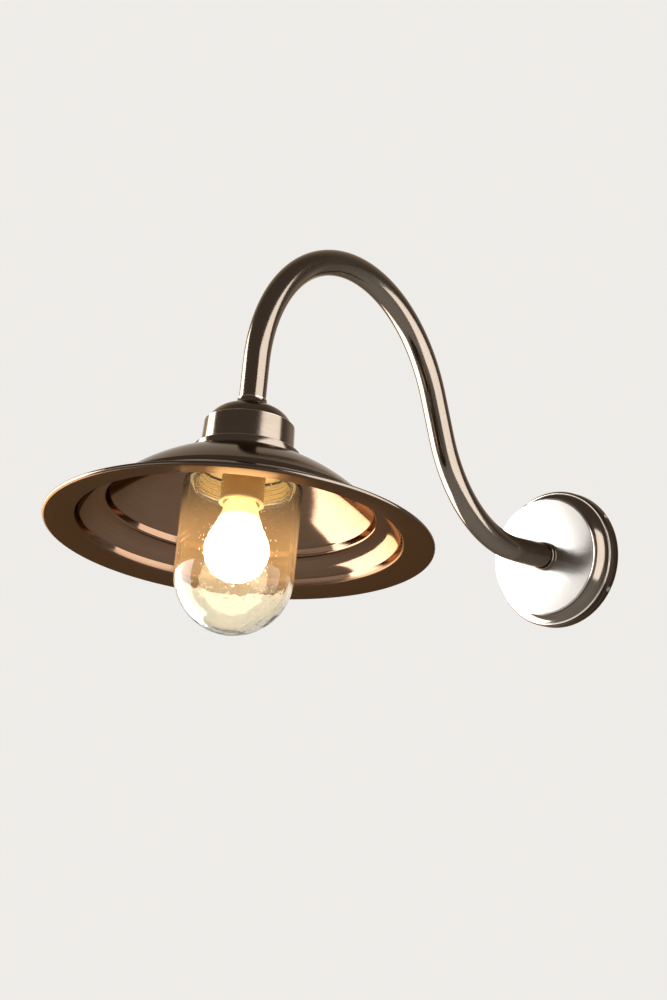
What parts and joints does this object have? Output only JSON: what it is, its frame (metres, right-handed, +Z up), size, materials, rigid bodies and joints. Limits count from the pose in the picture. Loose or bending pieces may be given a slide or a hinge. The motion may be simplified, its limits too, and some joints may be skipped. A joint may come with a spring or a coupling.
{
  "type": "gooseneck wall sconce",
  "caption": "Wall light with a round turned wall plate, a bent gooseneck tube, a wide stepped shade and a screw-in glass dome over a bulb.",
  "frame": {"origin": "centre of the wall plate's back, on the wall", "axes": "+Y into the wall, -Y out into the room, +Z up, +X to the right of someone who faces the wall"},
  "size_m": [0.3604, 0.7274, 0.3947],
  "materials": {
    "antique_silver": "polished and lightly brushed silver plating over brass, with a warm tone",
    "plain_steel": "plain zinc-plated steel",
    "seal_rubber": "soft black seal",
    "block_plastic": "off-white moulded plastic",
    "cable_sheath": "white sheath",
    "clear_glass": "thick clear glass with slight streaks",
    "brown_phenolic": "brown phenolic moulding",
    "contact_brass": "bare brass",
    "bulb_glass": "frosted bulb glass, lit warm white",
    "cap_metal": "nickel-plated bulb cap",
    "cap_insulator": "black fused glass",
    "contact_solder": "tinned contact",
    "stem_glass": "clear glass stem",
    "filament_metal": "drawn wire"
  },
  "bodies": {
    "fixture": {"mounting_disc": "plain_steel", "wall_gasket": "seal_rubber", "backplate_cup": "antique_silver", "face_disc": "antique_silver", "side_screws": "antique_silver", "earth_screw": "plain_steel", "terminal_block": "block_plastic", "terminal_screws": "plain_steel", "wall_bush": "plain_steel", "wall_stud_tube": "plain_steel", "wall_washer": "plain_steel", "wall_nut": "plain_steel", "arm_ferrule": "antique_silver", "gooseneck_arm": "antique_silver", "supply_cable": "cable_sheath", "shade_bush": "plain_steel", "shade_stud_tube": "plain_steel", "neck_collar": "antique_silver", "dome_cap": "antique_silver", "gallery": "antique_silver", "gallery_washer": "plain_steel", "gallery_nut": "plain_steel", "shade": "antique_silver", "rim_wire": "plain_steel", "glass_carrier": "antique_silver", "carrier_screws": "plain_steel", "holder_cap": "brown_phenolic", "holder_body": "brown_phenolic", "holder_shell": "contact_brass", "holder_contact": "contact_brass", "holder_ring": "antique_silver"},
    "glass_seal": {"glass_gasket": "seal_rubber"},
    "glass": {"glass_dome": "clear_glass"},
    "bulb": {"bulb_glass": "bulb_glass", "bulb_cap": "cap_metal", "bulb_insulator": "cap_insulator", "bulb_contact": "contact_solder", "bulb_stem": "stem_glass", "bulb_filament": "filament_metal"}
  },
  "joints": [
    {"name": "glass_drop", "type": "slide", "parent": "fixture", "child": "glass_seal", "axis": [0, -0.1874, -0.9823], "range_m": [0, 0.015]},
    {"name": "glass_turn", "type": "hinge", "parent": "glass_seal", "child": "glass", "pos_m": [0, -0.55075, -0.05147], "axis": [0, -0.1874, -0.9823], "range_deg": [0, 1080]},
    {"name": "bulb_unscrew", "type": "slide", "parent": "fixture", "child": "bulb", "axis": [0, -0.1874, -0.9823], "range_m": [0, 0.03]}
  ],
  "couplings": [
    {"joint": "glass_drop", "follows": "glass_turn", "m_per_rad": 0.00079577}
  ]
}
